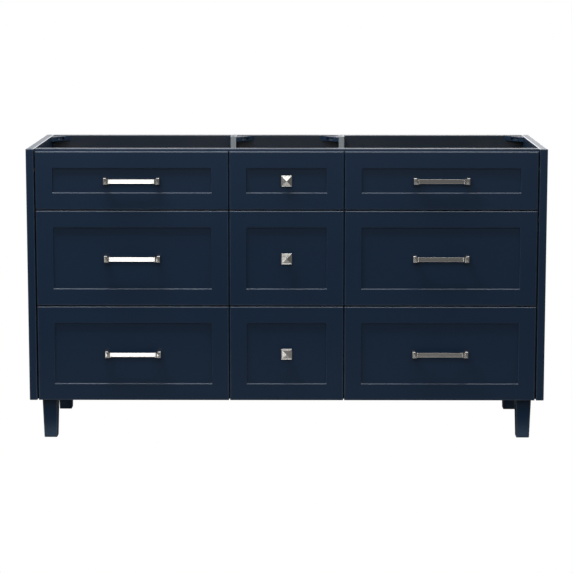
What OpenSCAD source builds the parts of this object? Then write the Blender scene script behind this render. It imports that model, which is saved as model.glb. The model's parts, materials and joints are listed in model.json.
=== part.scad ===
// Freestanding bathroom vanity cabinet without its countertop: a painted case on four
// tapered legs, three columns of drawers in three rows, each on a pair of full-extension
// ball-bearing slides.
// Origin: on the floor, at the middle of the whole width and depth, handles included.
// X runs to the right, Y to the back, Z up. All sizes are in millimetres.

/* [Case] */
// Width across the two side panels
case_w = 1524; // [1300:1:1850]
// Depth from the drawer faces to the back
case_d = 546; // [525:1:660]
// Height from the floor to the open top
case_h = 864; // [800:1:1040]
// Thickness of the side panels
side_t = 23; // [18:0.5:28]
// Thickness of the two partitions
partition_t = 18; // [15:0.5:22]
// Distance between the centre planes of the partitions
partition_pitch = 338; // [280:1:420]
// How far the full-height strip at the back of a partition runs past the brace on it
strip_margin = 2; // [0:0.5:30]
// Thickness of the case floor
floor_t = 18; // [15:0.5:22]
// Thickness of the back panel
back_t = 9; // [6:0.5:15]

/* [Rails] */
// Height of the rail behind the top edge of the upper drawers
front_rail_h = 52; // [30:1:60]
// Thickness of that rail
front_rail_t = 20; // [15:0.5:24]
// Height of the wall-fixing rails across the back
back_rail_h = 80; // [60:1:110]
// Thickness of the wall-fixing rails
back_rail_t = 18; // [15:0.5:19]

/* [Plumbing cut-outs] */
// Width of a cut-out in the back panel
plumbing_w = 300; // [120:1:380]
// Height of a cut-out
plumbing_h = 180; // [120:1:240]
// Height of its lower edge above the case floor
plumbing_rise = 264; // [120:1:320]

/* [Corner braces] */
// Length of a brace along each wall of its corner
brace_leg = 54; // [50:1:64]
// Thickness of a brace
brace_t = 14; // [12:0.5:20]
// How far the braces sit below the open top
brace_drop = 2; // [0:0.5:10]
// Diameter of the countertop screw hole in a brace
top_screw_hole_d = 6; // [4:0.5:7]
// Distance of that hole from both walls of the corner
top_screw_inset = 17; // [15:0.5:18]
// Diameter of the screws that hold a brace
brace_screw_d = 4; // [3.5:0.5:4.5]
// Distance of a brace screw from the wall beside it
brace_screw_inset = 34; // [33:0.5:36]
// Depth that a brace screw goes into the panel
brace_screw_bite = 14; // [8:0.5:14]

/* [Legs] */
// Height of the legs, from the floor to the case
leg_h = 118; // [90:1:160]
// Width of a leg at the top
leg_top_w = 46; // [36:0.5:60]
// Width of a leg at the foot
leg_foot_w = 38.5; // [28:0.5:46]
// Distance of a leg from the outer face of the side panel
leg_side_inset = 35; // [23:0.5:60]
// Distance of the front legs behind the front edge of the case floor
leg_front_inset = 0; // [0:0.5:40]
// Distance of the rear legs from the back
leg_back_inset = 60; // [20:0.5:90]
// Diameter of the bolt in each leg
leg_bolt_d = 8; // [6:1:10]
// Depth of that bolt in the leg
leg_bolt_depth = 40; // [25:1:60]

/* [Drawer fronts] */
// Thickness of a front
front_t = 20; // [18:0.5:24]
// Width of the raised border around a front
border_w = 50; // [40:0.5:60]
// Depth of the panel inside the border
recess = 7; // [4:0.5:9]
// Gap between one front and the next
front_gap = 3; // [2:0.5:5]
// Gap between a front and the side panel
side_gap = 4; // [2:0.5:6]
// Distance of the upper fronts below the open top
top_reveal = 7; // [3:0.5:20]
// Height of the fronts in the upper row
upper_front_h = 171; // [165:1:200]
// Gap between the back of a front and the case behind it
seal_gap = 2; // [1:0.5:4]

/* [Drawer boxes] */
// Depth of a drawer box
box_d = 457; // [450:1:475]
// Thickness of the box walls
wall_t = 12; // [10:0.5:16]
// Thickness of the box floor
box_floor_t = 6; // [4:0.5:9]
// Height of the box floor above the lower edge of the walls
box_floor_rise = 10; // [6:0.5:14]
// Height of the boxes in the middle and lower rows
deep_box_h = 200; // [150:1:210]
// Height of the boxes in the upper row
upper_box_h = 92; // [88:1:92]
// Height of a box above the lower edge of its front, lower row
lower_box_rise = 36; // [36:0.5:44]
// The same in the middle row
middle_box_rise = 20; // [12:0.5:28]
// The same in the upper row
upper_box_rise = 16; // [12:0.5:16]
// Width of the notch that leaves room for a basin, upper row
basin_w = 300; // [200:1:330]
// Depth of that notch
basin_d = 330; // [200:1:350]
// Width of the notch that leaves room for a trap, middle row
trap_w = 170; // [100:1:250]
// Depth of that notch
trap_d = 230; // [100:1:300]

/* [Slides] */
// Width of a slide, from the case to the box
slide_w = 12.7; // [12.5:0.1:13.5]
// Height of a slide
slide_h = 45; // [42:0.5:46]
// Length of a slide
slide_l = 450; // [380:1:450]
// Distance of the slides behind the front edge of the case
slide_setback = 3; // [2:0.5:5]
// Height of the slide's centre line above the box's lower edge
slide_rise = 40; // [36:0.5:48]
// Thickness of the slide's steel
steel_t = 1.2; // [1:0.1:1.5]
// Diameter of the bearing balls between two members
ball_d = 3.5; // [3:0.1:3.6]
// Diameter of the slide's screws
slide_screw_d = 3.5; // [3:0.5:4]
// Depth of a slide screw in its panel
slide_screw_bite = 13; // [8:0.5:14]
// How far behind the wide columns' slide screws the centre column's screws sit
slide_screw_stagger = 32; // [10:1:60]

/* [Pulls] */
// Length of a pull over its feet
pull_l = 165; // [120:1:240]
// Distance from the panel of a front to the face of the bar
pull_out = 34; // [28:0.5:42]
// Width of a foot
foot_w = 14; // [11:0.5:18]
// Height of a foot
foot_h = 20; // [16:0.5:26]
// Width of the chamfer on a foot's upper inner corner
foot_cut = 5; // [2:0.5:6]
// Height of the bar
bar_h = 13.5; // [10:0.5:16]
// Thickness of the bar
bar_t = 9; // [6:0.5:12]
// Width of the collar at each end of the bar
collar_w = 5; // [3:0.5:8]
// How far a collar stands proud of the bar
collar_proud = 0.8; // [0.4:0.1:1.5]

/* [Knobs] */
// Width of the square knob
knob_w = 32.5; // [24:0.5:40]
// Distance from the panel of a front to the point of the knob
knob_out = 27; // [23:0.5:34]
// Diameter of the knob's stem
stem_d = 14; // [10:0.5:18]
// Diameter of the screws that hold pulls and knobs
handle_screw_d = 4; // [3:0.5:5]

/* [Hidden] */
COLUMNS = ["left", "centre", "right"];
ROWS = ["lower", "middle", "upper"];
DRAWER_PARTS = ["front", "box", "handle", "slide_inner", "slide_middle"];
CASE_NODES = [
    "left_side_panel", "right_side_panel", "left_partition", "right_partition",
    "case_floor", "back_panel", "back_rails", "top_front_rail", "corner_braces",
    "brace_screws", "front_legs", "rear_legs", "leg_bolts", "slide_outer_members",
    "slide_screws"
];
function node_name(r, c, part) = str(ROWS[r], "_", COLUMNS[c], "_", part_name(c, part));
function part_name(c, part) = part != "handle" ? part : c == 1 ? "knob" : "pull";

$fn = 32;
joint_gap = 0.1;      // glue line between two solids of one node
screw_clearance = 0.3; // radial clearance of a screw or bolt in its hole
beyond = 1;           // how far a cutting solid runs past what it cuts

// Depth places
handle_proud = pull_out - recess;
face_y = (handle_proud - case_d) / 2;
back_y = face_y + case_d;
case_y = face_y + front_t + seal_gap;
panel_y = face_y + recess;
box_y = face_y + front_t;
inner_back_y = back_y - back_t;
rail_y = inner_back_y - back_rail_t;
slide_y = case_y + slide_setback;

// Width places
inner_x = case_w / 2 - side_t;
partition_x = partition_pitch / 2;
partition_face = (partition_pitch + partition_t) / 2;
centre_bay_w = partition_pitch - partition_t;
wide_bay_w = inner_x - partition_face;
centre_front_w = partition_pitch - front_gap;
wide_front_w = inner_x - side_gap - partition_x - front_gap / 2;
function bay_w(c) = c == 1 ? centre_bay_w : wide_bay_w;
function bay_x(c) = (c - 1) * (inner_x + partition_face) / 2;
function column_w(c) = c == 1 ? centre_front_w : wide_front_w;
function column_x(c) = (c - 1) * (inner_x - side_gap + partition_x + front_gap / 2) / 2;
function box_w(c) = bay_w(c) - 2 * slide_w;

// Height places
floor_z = leg_h + floor_t;
deep_front_h = (case_h - top_reveal - upper_front_h - 2 * front_gap - leg_h) / 2;
upper_row = len(ROWS) - 1;
function front_z(r) = leg_h + r * (deep_front_h + front_gap);
function front_h(r) = r == upper_row ? upper_front_h : deep_front_h;
function box_z(r) = front_z(r) + [lower_box_rise, middle_box_rise, upper_box_rise][r];
function box_h(r) = r == upper_row ? upper_box_h : deep_box_h;
function handle_z(r) = front_z(r) + front_h(r) / 2;
function slide_z(r) = box_z(r) + slide_rise;

// Notch of a box: its width and depth, or undef on a box that has none
function notch(r, c) = c == 1 || r == 0 ? undef : r == upper_row ? [basin_w, basin_d] : [trap_w, trap_d];

// Slide members, across the slide from the case (0) to the box (slide_w)
ball_room = ball_d + 0.3;
outer_depth = 9.5;
middle_at = 5;
middle_depth = 5.2;
inner_depth = 5.1;
middle_h = slide_h - 2 * (steel_t + ball_room);
inner_h = middle_h - 2 * (steel_t + ball_room);
slide_screw_places = [35, slide_l - 130];
slide_screw_head = [7, 1.8];

// Handles
pull_span = pull_l - foot_w;
bar_l = pull_l - 2 * foot_w - 2 * joint_gap;
bar_back = 1.5;
handle_screw_head = [8, 2.4];
handle_screw_grip = 10;
knob_rim_w = 24.5;
knob_back = 14;
knob_rim_out = 21;
function handle_xs(c) = c == 1 ? [0] : [column_x(c) - pull_span / 2, column_x(c) + pull_span / 2];

// Legs and their bolts
leg_x = case_w / 2 - leg_side_inset - leg_top_w / 2;
front_leg_y = case_y + leg_front_inset + leg_top_w / 2;
rear_leg_y = back_y - leg_back_inset - leg_top_w / 2;
washer = [2.4 * leg_bolt_d, 1.6];
nut = [1.85 * leg_bolt_d, 0.75 * leg_bolt_d];
tip_room = 2;          // length of a bolt past its nut, and of a hole past its screw

// Braces: the corner that each one fills, and the direction of its legs along X
brace_z = case_h - brace_drop - brace_t;
BRACES = [[-inner_x, 1], [-centre_bay_w / 2, 1], [centre_bay_w / 2, -1], [inner_x, -1]];
brace_screw_head = [7.5, 2.6];

// A box between two opposite corners
module block(low, high) {
    translate(low) cube(high - low);
}

// A square bar that tapers from w1 to w2 over height h, centred on Z
module square_taper(w1, w2, h) {
    rotate(45) cylinder(d1 = w1 * sqrt(2), d2 = w2 * sqrt(2), h = h, $fn = 4);
}

// A pan-head screw along -Z: its head stands on the plane z = 0
module screw(d, length, head) {
    translate([0, 0, -length]) cylinder(d = d, h = length + head[1] / 2);
    cylinder(d = head[0], h = head[1]);
}

// ---- Case ----

module side_panel(side) {
    color("#1f2b3b")
        translate([side * (case_w - side_t) / 2, 0, 0])
            block([-side_t / 2, face_y, leg_h], [side_t / 2, back_y, case_h]);
}

module partition(side) {
    low_top = case_h - front_rail_h;
    rear_y = rail_y - brace_leg - strip_margin;
    color("#253241")
        translate([side * partition_x, 0, 0]) difference() {
            block([-partition_t / 2, case_y, floor_z], [partition_t / 2, inner_back_y, case_h]);
            block([-partition_t, case_y - beyond, low_top], [partition_t, rear_y, case_h + beyond]);
        }
}

module case_floor() {
    color("#253241") difference() {
        block([-inner_x, case_y, leg_h], [inner_x, inner_back_y, floor_z]);
        for (y = [front_leg_y, rear_leg_y]) at_legs(y)
            translate([0, 0, leg_h - beyond])
                cylinder(d = leg_bolt_d + 2 * screw_clearance, h = floor_t + 2 * beyond);
    }
}

module back_panel() {
    cut_z = floor_z + plumbing_rise;
    color("#222e3d") difference() {
        block([-inner_x, inner_back_y, leg_h], [inner_x, back_y, case_h]);
        for (c = [0, 2]) translate([bay_x(c), 0, cut_z])
            block([-plumbing_w / 2, inner_back_y - beyond, 0], [plumbing_w / 2, back_y + beyond, plumbing_h]);
    }
}

module back_rails() {
    color("#253241") for (c = [0:2]) translate([bay_x(c), 0, 0])
        block([-bay_w(c) / 2, rail_y, case_h - back_rail_h], [bay_w(c) / 2, inner_back_y, case_h]);
}

module top_front_rail() {
    color("#253241")
        block([-inner_x, case_y, case_h - front_rail_h], [inner_x, case_y + front_rail_t, case_h]);
}

// ---- Corner braces ----

// Children are drawn in a corner: X along one wall, -Y along the other, Z up
module at_braces() {
    for (b = BRACES) translate([b[0], rail_y, brace_z]) mirror([b[1] < 0 ? 1 : 0, 0, 0]) children();
}

// Axes of a brace's two screws, each square to one wall. Z runs out of the wall.
module at_brace_screws() {
    translate([0, -brace_screw_inset, brace_t / 2]) rotate([0, 90, 0]) children();
    translate([brace_screw_inset, 0, brace_t / 2]) rotate([90, 0, 0]) children();
}

module corner_braces() {
    seat = brace_leg - brace_screw_inset;
    color("#2a3747") at_braces() difference() {
        linear_extrude(brace_t) polygon([[0, 0], [brace_leg, 0], [0, -brace_leg]]);
        translate([top_screw_inset, -top_screw_inset, -beyond])
            cylinder(d = top_screw_hole_d, h = brace_t + 2 * beyond);
        at_brace_screws() {
            translate([0, 0, -beyond]) cylinder(d = brace_screw_d + 2 * screw_clearance, h = brace_leg);
            translate([0, 0, seat / 2]) cylinder(d = brace_screw_head[0] + 1, h = brace_leg);
        }
    }
}

module brace_screws() {
    seat = (brace_leg - brace_screw_inset) / 2;
    color("#3a3a3c") at_braces() at_brace_screws()
        translate([0, 0, seat]) screw(brace_screw_d, seat + brace_screw_bite, brace_screw_head);
}

// ---- Legs ----

// Children are drawn on the centre line of the left and the right leg at depth y
module at_legs(y) {
    for (side = [-1, 1]) translate([side * leg_x, y, 0]) children();
}

module legs(y) {
    color("#1c2736") at_legs(y) difference() {
        square_taper(leg_foot_w, leg_top_w, leg_h);
        translate([0, 0, leg_h - leg_bolt_depth - tip_room])
            cylinder(d = leg_bolt_d + 2 * screw_clearance, h = leg_bolt_depth + tip_room + beyond);
    }
}

// Hanger bolts through the case floor, each with its washer and nut
module leg_bolts() {
    bolt_l = leg_bolt_depth + floor_t + washer[1] + nut[1] + tip_room;
    hole_d = leg_bolt_d + 2 * screw_clearance;
    color("#9a9da0") for (y = [front_leg_y, rear_leg_y]) at_legs(y) {
        translate([0, 0, leg_h - leg_bolt_depth]) cylinder(d = leg_bolt_d, h = bolt_l);
        translate([0, 0, floor_z]) difference() {
            cylinder(d = washer[0], h = washer[1]);
            translate([0, 0, -beyond]) cylinder(d = hole_d, h = washer[1] + 2 * beyond);
        }
        translate([0, 0, floor_z + washer[1] + joint_gap]) difference() {
            cylinder(d = nut[0], h = nut[1], $fn = 6);
            translate([0, 0, -beyond]) cylinder(d = hole_d, h = nut[1] + 2 * beyond);
        }
    }
}

// ---- Slides ----

// Children are drawn at both slides of a drawer: X from the panel towards the box, Y to the back
module at_slides(r, c) {
    for (side = [-1, 1])
        translate([bay_x(c) + side * bay_w(c) / 2, slide_y, slide_z(r)])
            mirror([side > 0 ? 1 : 0, 0, 0]) children();
}

// A steel channel between the planes x1 and x2, open towards the side given
module channel(x1, x2, h, open) {
    difference() {
        block([x1, 0, -h / 2], [x2, slide_l, h / 2]);
        block(
            [open > 0 ? x1 + steel_t : x1 - beyond, -beyond, steel_t - h / 2],
            [open > 0 ? x2 + beyond : x2 - steel_t, slide_l + beyond, h / 2 - steel_t]
        );
    }
}

// Screws go into a partition from both sides, so the centre column's are staggered
module at_slide_screws(c) {
    shift = c == 1 ? slide_screw_stagger : 0;
    for (y = slide_screw_places) translate([steel_t, y + shift, 0]) rotate([0, 90, 0]) children();
}

module slide_outer_members() {
    color("#a9acae") for (r = [0:2]) for (c = [0:2]) at_slides(r, c) difference() {
        channel(0, outer_depth, slide_h, 1);
        at_slide_screws(c) translate([0, 0, -steel_t - beyond])
            cylinder(d = slide_screw_d + 2 * screw_clearance, h = steel_t + 2 * beyond);
    }
}

module slide_screws() {
    color("#8d9092") for (r = [0:2]) for (c = [0:2]) at_slides(r, c) at_slide_screws(c)
        screw(slide_screw_d, steel_t + slide_screw_bite, slide_screw_head);
}

module slide_middle(r, c) {
    color("#b5b8ba") at_slides(r, c) channel(middle_at, middle_at + middle_depth, middle_h, 1);
}

module slide_inner(r, c) {
    color("#bfc2c4") at_slides(r, c) channel(slide_w - inner_depth, slide_w, inner_h, -1);
}

// ---- Drawers ----

// Children are drawn on the axis of each handle screw: Z runs to the back, from the front's panel
module at_handle_screws(r, c) {
    for (x = handle_xs(c)) translate([x, panel_y, handle_z(r)]) rotate([-90, 0, 0]) children();
}

module handle_screw_holes(r, c) {
    at_handle_screws(r, c) translate([0, 0, -beyond])
        cylinder(d = handle_screw_d + 2 * screw_clearance, h = front_t + wall_t + 2 * beyond);
}

module front(r, c) {
    w = column_w(c);
    h = front_h(r);
    color("#1e2a39") difference() {
        translate([column_x(c), face_y, front_z(r)]) difference() {
            block([-w / 2, 0, 0], [w / 2, front_t, h]);
            block([border_w - w / 2, -beyond, border_w], [w / 2 - border_w, recess, h - border_w]);
        }
        handle_screw_holes(r, c);
    }
}

// A wall of a box, drawn from corner to corner in the plan and from the box's lower edge up
module wall(low, high, h) {
    block([low[0], low[1], 0], [high[0], high[1], h]);
}

module box(r, c) {
    w = box_w(c) / 2;
    h = box_h(r);
    cut = notch(r, c);
    inner = w - wall_t;
    color("#d9c19a") difference() {
        translate([bay_x(c), box_y, box_z(r)]) {
            for (side = [-1, 1]) translate([side * (w - wall_t / 2), 0, 0])
                wall([-wall_t / 2, 0], [wall_t / 2, box_d], h);
            wall([joint_gap - inner, 0], [inner - joint_gap, wall_t], h);
            if (is_undef(cut)) {
                plain_back(inner, h);
            } else {
                notched_back(inner, h, cut);
            }
            box_floor(inner, cut);
        }
        handle_screw_holes(r, c);
    }
}

module plain_back(inner, h) {
    wall([joint_gap - inner, box_d - wall_t], [inner - joint_gap, box_d], h);
}

// The back wall goes in around the notch: two short back walls, two long cheeks and an end
module notched_back(inner, h, cut) {
    cheek = cut[0] / 2;
    end_y = box_d - cut[1];
    for (side = [-1, 1]) mirror([side > 0 ? 1 : 0, 0, 0]) {
        wall([joint_gap - inner, box_d - wall_t], [-cheek - wall_t - joint_gap, box_d], h);
        wall([-cheek - wall_t, end_y - wall_t], [-cheek, box_d], h);
    }
    wall([joint_gap - cheek, end_y - wall_t], [cheek - joint_gap, end_y], h);
}

// The floor sits inside the walls and follows the notch
module box_floor(inner, cut) {
    gap = joint_gap;
    translate([0, 0, box_floor_rise]) difference() {
        block([gap - inner, wall_t + gap, 0], [inner - gap, box_d - wall_t - gap, box_floor_t]);
        if (!is_undef(cut)) {
            edge = cut[0] / 2 + wall_t + gap;
            block([-edge, box_d - cut[1] - wall_t - gap, -beyond], [edge, box_d + beyond, box_floor_t + beyond]);
        }
    }
}

// The foot of a pull, with its threaded hole. X points to the middle of the pull, -Y to the room.
module pull_foot() {
    half_w = foot_w / 2;
    half_h = foot_h / 2;
    difference() {
        rotate([90, 0, 0]) linear_extrude(pull_out) polygon([
            [-half_w, -half_h], [half_w, -half_h], [half_w, half_h - foot_cut],
            [half_w - foot_cut, half_h], [-half_w, half_h]
        ]);
        rotate([90, 0, 0]) translate([0, 0, -beyond])
            cylinder(d = handle_screw_d + 2 * screw_clearance, h = handle_screw_grip + tip_room + beyond);
    }
}

// The bar between the feet, with a collar at each end
module pull_bar() {
    bar_y = bar_back - pull_out;
    block([-bar_l / 2, bar_y, -bar_h / 2], [bar_l / 2, bar_y + bar_t, bar_h / 2]);
    for (side = [-1, 1]) translate([side * (bar_l - collar_w) / 2, 0, 0]) block(
        [-collar_w / 2, bar_y - collar_proud, -bar_h / 2 - collar_proud],
        [collar_w / 2, bar_y + bar_t + collar_proud, bar_h / 2 + collar_proud]
    );
}

// Screws from inside the box, through its wall and the front, into the handle
module handle_screws(r, c) {
    seat = front_t - recess + wall_t;
    at_handle_screws(r, c) translate([0, 0, seat])
        screw(handle_screw_d, seat + handle_screw_grip, handle_screw_head);
}

module pull(r, c) {
    color("#b9b5ae") translate([column_x(c), panel_y, handle_z(r)]) {
        for (side = [0, 1]) mirror([side, 0, 0]) translate([-pull_span / 2, 0, 0]) pull_foot();
        pull_bar();
    }
    color("#8d9092") handle_screws(r, c);
}

module knob(r, c) {
    color("#a8a49d") translate([column_x(c), panel_y, handle_z(r)]) rotate([90, 0, 0]) difference() {
        union() {
            cylinder(d = stem_d, h = knob_back);
            translate([0, 0, knob_back]) square_taper(knob_w, knob_rim_w, knob_rim_out - knob_back);
            translate([0, 0, knob_rim_out]) square_taper(knob_rim_w, 1, knob_out - knob_rim_out);
        }
        translate([0, 0, -beyond])
            cylinder(d = handle_screw_d + 2 * screw_clearance, h = handle_screw_grip + tip_room + beyond);
    }
    color("#8d9092") handle_screws(r, c);
}

// One piece of the drawer in row r and column c
module drawer_part(r, c, part) {
    if (part == "front") front(r, c);
    if (part == "box") box(r, c);
    if (part == "handle" && c == 1) knob(r, c);
    if (part == "handle" && c != 1) pull(r, c);
    if (part == "slide_inner") slide_inner(r, c);
    if (part == "slide_middle") slide_middle(r, c);
}

side_panel(-1);  // left_side_panel
side_panel(1);  // right_side_panel
partition(-1);  // left_partition
partition(1);  // right_partition
case_floor();
back_panel();
back_rails();
top_front_rail();
corner_braces();
brace_screws();
legs(front_leg_y);  // front_legs
legs(rear_leg_y);  // rear_legs
leg_bolts();
slide_outer_members();
slide_screws();
for (r = [0:2]) for (c = [0:2]) for (part = DRAWER_PARTS)
    drawer_part(r, c, part);
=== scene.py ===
import json
import math

import bmesh
import bpy
import numpy as np
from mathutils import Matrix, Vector

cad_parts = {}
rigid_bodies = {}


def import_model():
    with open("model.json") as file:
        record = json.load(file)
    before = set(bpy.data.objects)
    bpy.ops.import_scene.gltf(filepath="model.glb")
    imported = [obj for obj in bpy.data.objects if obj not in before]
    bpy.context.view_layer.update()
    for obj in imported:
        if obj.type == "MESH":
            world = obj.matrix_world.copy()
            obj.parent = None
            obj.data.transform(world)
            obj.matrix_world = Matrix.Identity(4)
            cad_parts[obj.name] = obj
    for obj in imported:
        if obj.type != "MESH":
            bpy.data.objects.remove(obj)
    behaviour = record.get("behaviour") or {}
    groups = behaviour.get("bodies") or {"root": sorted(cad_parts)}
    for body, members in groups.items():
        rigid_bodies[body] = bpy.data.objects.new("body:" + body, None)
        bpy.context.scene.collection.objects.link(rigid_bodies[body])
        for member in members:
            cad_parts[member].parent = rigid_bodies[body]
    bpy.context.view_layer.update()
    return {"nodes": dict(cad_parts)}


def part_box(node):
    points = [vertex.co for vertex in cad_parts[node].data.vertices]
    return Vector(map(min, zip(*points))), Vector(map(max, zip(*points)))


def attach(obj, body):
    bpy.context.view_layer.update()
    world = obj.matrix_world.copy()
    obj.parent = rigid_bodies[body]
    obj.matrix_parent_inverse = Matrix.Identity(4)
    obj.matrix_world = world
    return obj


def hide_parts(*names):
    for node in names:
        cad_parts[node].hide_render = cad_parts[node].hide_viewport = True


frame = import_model()

# A freestanding vanity cabinet in navy lacquer: a case on four tapered legs, nine drawers
# with raised borders on full-extension slides, bar pulls on the wide ones and square
# knobs on the centre ones. Sizes are in metres.

ROWS = ("lower", "middle", "upper")
COLUMNS = ("left", "centre", "right")
X, Y, Z = np.eye(3)

WALL = 0.012                # thickness of a drawer box's walls
BOX_FLOOR = 0.006
BOX_FLOOR_RISE = 0.010
GLUE_LINE = 0.0001
NOTCHES = {"upper": (0.300, 0.330), "middle": (0.170, 0.230)}   # width and depth behind the basin
RECESS = 0.007              # depth of the panel inside a front's border
BORDER = 0.050
SLIDE_W = 0.0127
STEEL = 0.0012
BALL = 0.0035
QUARTER = np.linspace(0, math.pi / 2, 4)


# ---- Mesh work ----

class Skin:
    """The closed shells of one piece, with a finish number and an edge-wear value for each."""

    def __init__(self):
        self.points, self.faces, self.wear, self.finish = [], [], [], []
        self.size = 0

    def add(self, points, face_sets, wear=0.0, finish=0):
        """Adds a shell, turned so that the volume inside its faces is positive."""
        points = np.asarray(points, float).reshape(-1, 3)
        if volume(points, face_sets) < 0:
            face_sets = [f[:, ::-1] for f in face_sets]
        for faces in face_sets:
            self.faces += (faces + self.size).tolist()
            self.finish += [finish] * len(faces)
        self.points.append(points)
        self.wear.append(np.broadcast_to(np.asarray(wear, float).reshape(-1), (len(points),)))
        self.size += len(points)
        return self

    def mesh(self, name, finishes):
        """A mesh with smooth shading, its finishes, and the wear as a point attribute."""
        mesh = bpy.data.meshes.new(name)
        mesh.from_pydata(np.vstack(self.points).tolist(), [], self.faces)
        for finish in finishes:
            mesh.materials.append(finish)
        mesh.polygons.foreach_set("material_index", self.finish)
        mesh.attributes.new("wear", "FLOAT", "POINT").data.foreach_set(
            "value", np.concatenate(self.wear).astype(np.float32))
        mesh.shade_smooth()
        mesh.set_sharp_from_angle(angle=math.radians(35))
        return mesh


def volume(points, face_sets):
    """Signed volume: over each face's fan of triangles, a dot (b cross c), summed, over six."""
    total = 0.0
    for faces in face_sets:
        first = points[faces[:, :1]]
        total += np.sum(first * np.cross(points[faces[:, 1:-1]], points[faces[:, 2:]]))
    return total / 6


def loft(rings):
    """Rings of equal length joined by quads, with one face over each end ring."""
    rows, columns = rings.shape[:2]
    index = np.arange(rows * columns).reshape(rows, columns)
    ahead = np.roll(index, -1, axis=1)
    quads = np.stack([index[:-1], ahead[:-1], ahead[1:], index[1:]], axis=-1).reshape(-1, 4)
    return rings.reshape(-1, 3), [quads, index[:1, ::-1], index[-1:]]


def mitred(corners, inset):
    """A counter-clockwise outline moved inwards: each corner goes along the sum of its two
    sides' normals, divided by one plus their dot product, times the inset."""
    side = np.roll(corners, -1, axis=0) - corners
    side /= np.linalg.norm(side, axis=1, keepdims=True)
    normal = np.stack([-side[:, 1], side[:, 0]], axis=1)
    before = np.roll(normal, 1, axis=0)
    share = 1 + np.sum(normal * before, axis=1, keepdims=True)
    return corners + inset * (normal + before) / share


def eased_outline(corners, radius, hold, steps=3):
    """Each corner becomes a parabola from a point on one side to a point on the next, where
    radius times the tangent of half the turn is their distance from the corner, with a
    holding point on each side. Returns the points, and one where they lie on a curve."""
    ahead = np.roll(corners, -1, axis=0) - corners
    ahead /= np.linalg.norm(ahead, axis=1, keepdims=True)
    back = np.roll(ahead, 1, axis=0)
    cosine = np.clip(np.sum(ahead * back, axis=1, keepdims=True), -0.99, 1)
    reach = np.asarray(radius, float).reshape(-1, 1) * np.sqrt((1 - cosine) / (1 + cosine))
    s = np.linspace(0, 1, steps + 1).reshape(1, -1, 1)
    start, end = corners - back * reach, corners + ahead * reach
    curve = (1 - s) ** 2 * start[:, None] + 2 * s * (1 - s) * corners[:, None] + s ** 2 * end[:, None]
    points = np.concatenate([(start - back * hold)[:, None], curve, (end + ahead * hold)[:, None]], axis=1)
    worn = np.tile([0.0] + [1.0] * (steps + 1) + [0.0], len(corners))
    return points.reshape(-1, 2), worn


def placed(points, origin, u, v, d):
    """Points (a, b, c) of a piece's own frame as origin + a u + b v + c d."""
    return np.asarray(origin, float) + points @ np.array([u, v, d], float)


FLAT = -1                   # wear of a row that has none, not even at its corners


def carried(corners, rows, origin, u, v, d, hold):
    """An outline in the plane of u and v carried along d. Each row of the profile is
    (inset, depth, corner radius, wear): wear is 1 all round, 0 at the corners only, and
    FLAT nowhere."""
    corners = np.asarray(corners, float)
    rings, worn = [], []
    for inset, depth, radius, wear in rows:
        points, on_curve = eased_outline(mitred(corners, inset), radius, hold)
        rings.append(np.column_stack([points, np.full(len(points), depth)]))
        worn.append(on_curve * 0 if wear == FLAT else np.maximum(on_curve, wear))
    points, faces = loft(placed(np.array(rings), origin, u, v, d))
    return points, faces, np.concatenate(worn)


def eased_ends(length, ease, hold, radius=None, steps=3):
    """Profile rows of a straight bar with a quarter circle of radius ease round each end:
    the inset is ease (1 - sin t) and the depth ease (1 - cos t)."""
    radius = ease if radius is None else radius
    t = np.linspace(0, math.pi / 2, steps + 1)
    inset, depth = ease * (1 - np.sin(t)), ease * (1 - np.cos(t))
    turned = [(i, z, max(radius - i, 0.15 * radius), 1.0) for i, z in zip(inset, depth)]
    first = [(ease + hold, 0.0, 0.15 * radius, FLAT), *turned, (0.0, ease + hold, radius, 0.0)]
    return first + [(i, length - z, r, w) for i, z, r, w in reversed(first)]


def rectangle(half_w, half_h):
    """A counter-clockwise rectangle about the middle."""
    return np.array([[half_w, -half_h], [half_w, half_h], [-half_w, half_h], [-half_w, -half_h]])


def add_block(skin, low, high, ease=0.0008, axis=1, finish=0):
    """A board between two corners with every edge eased, its outline carried along an axis."""
    low, high = np.asarray(low, float), np.asarray(high, float)
    u, v, d = np.roll(np.eye(3), -axis - 1, axis=0)
    half = (high - low) / 2
    hold = min(0.002, 0.3 * min(half))
    origin = (low + high) / 2 - d * (half @ d)
    rows = eased_ends(2 * half @ d, ease, hold)
    points, faces, wear = carried(rectangle(half @ u, half @ v), rows, origin, u, v, d, hold)
    return skin.add(points, faces, wear, finish)


def add_prism(skin, corners, low, high, origin, u, v, d, ease=0.0004, radius=None, finish=0, hold=0.0004):
    """An outline of any shape between two depths along d, with eased ends."""
    rows = [(i, low + z, r, w) for i, z, r, w in eased_ends(high - low, ease, hold, radius)]
    points, faces, wear = carried(corners, rows, origin, u, v, d, hold)
    return skin.add(points, faces, wear, finish)


def add_turned(skin, profile, origin, axis, sides):
    """A profile of (radius, height) turned about an axis through the origin."""
    axis = np.asarray(axis, float)
    u = np.roll(axis, 1)
    v = np.cross(axis, u)
    turn = np.arange(sides) * 2 * math.pi / sides
    radius, height = np.array(profile, float).T
    around = np.stack([np.cos(turn), np.sin(turn)], axis=-1)
    flat = radius[:, None, None] * around[None]
    rings = np.concatenate([flat, np.broadcast_to(height[:, None, None], (len(height), sides, 1))], axis=2)
    points, faces = loft(placed(rings, origin, u, v, axis))
    return skin.add(points, faces)


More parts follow.
